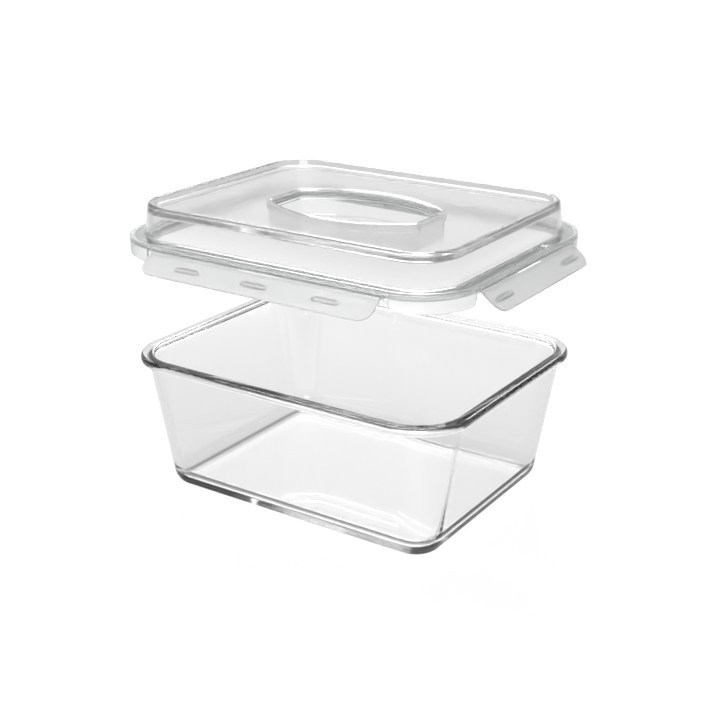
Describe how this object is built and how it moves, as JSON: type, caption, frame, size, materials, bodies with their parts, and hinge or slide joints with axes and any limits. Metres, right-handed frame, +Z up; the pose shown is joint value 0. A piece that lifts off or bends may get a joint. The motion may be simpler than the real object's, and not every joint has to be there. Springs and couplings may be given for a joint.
{
  "type": "snap lid food container",
  "caption": "Rectangular clear glass food box with a domed clear snap lid, sealing ring, hand well and hinged locking flaps.",
  "frame": {"origin": "middle of the tub's base, on the surface that it stands on", "axes": "+X along the length, +Y to the back, +Z up"},
  "size_m": [0.2828, 0.2328, 0.2003],
  "materials": {
    "tub_glass": "polished clear",
    "frame_plastic": "clear with a faint green tint",
    "gasket_silicone": "pale green satin",
    "dome_plastic": "polished clear",
    "well_plastic": "polished clear",
    "flap_plastic": "milky translucent"
  },
  "bodies": {
    "tub": {"glass_tub": "tub_glass"},
    "lid": {"lid_frame": "frame_plastic", "gasket": "gasket_silicone", "dome_cover": "dome_plastic", "handle_well": "well_plastic"},
    "flap_front": {"flap_front": "flap_plastic"},
    "flap_right": {"flap_right": "flap_plastic"},
    "flap_back": {"flap_back": "flap_plastic"},
    "flap_left": {"flap_left": "flap_plastic"}
  },
  "joints": [
    {"name": "lid_lift", "type": "slide", "parent": "tub", "child": "lid", "axis": [0, 0, 1], "range_m": [-0.077, 0.063]},
    {"name": "flap_front_hinge", "type": "hinge", "parent": "lid", "child": "flap_front", "pos_m": [0, -0.1012, 0.1764], "axis": [-1, 0, 0], "range_deg": [-51.6, 48.4]},
    {"name": "flap_right_hinge", "type": "hinge", "parent": "lid", "child": "flap_right", "pos_m": [0.1262, 0, 0.1764], "axis": [0, -1, 0], "range_deg": [-51.6, 48.4]},
    {"name": "flap_back_hinge", "type": "hinge", "parent": "lid", "child": "flap_back", "pos_m": [0, 0.1012, 0.1764], "axis": [1, 0, 0], "range_deg": [-51.6, 48.4]},
    {"name": "flap_left_hinge", "type": "hinge", "parent": "lid", "child": "flap_left", "pos_m": [-0.1262, 0, 0.1764], "axis": [0, 1, 0], "range_deg": [-51.6, 48.4]}
  ]
}
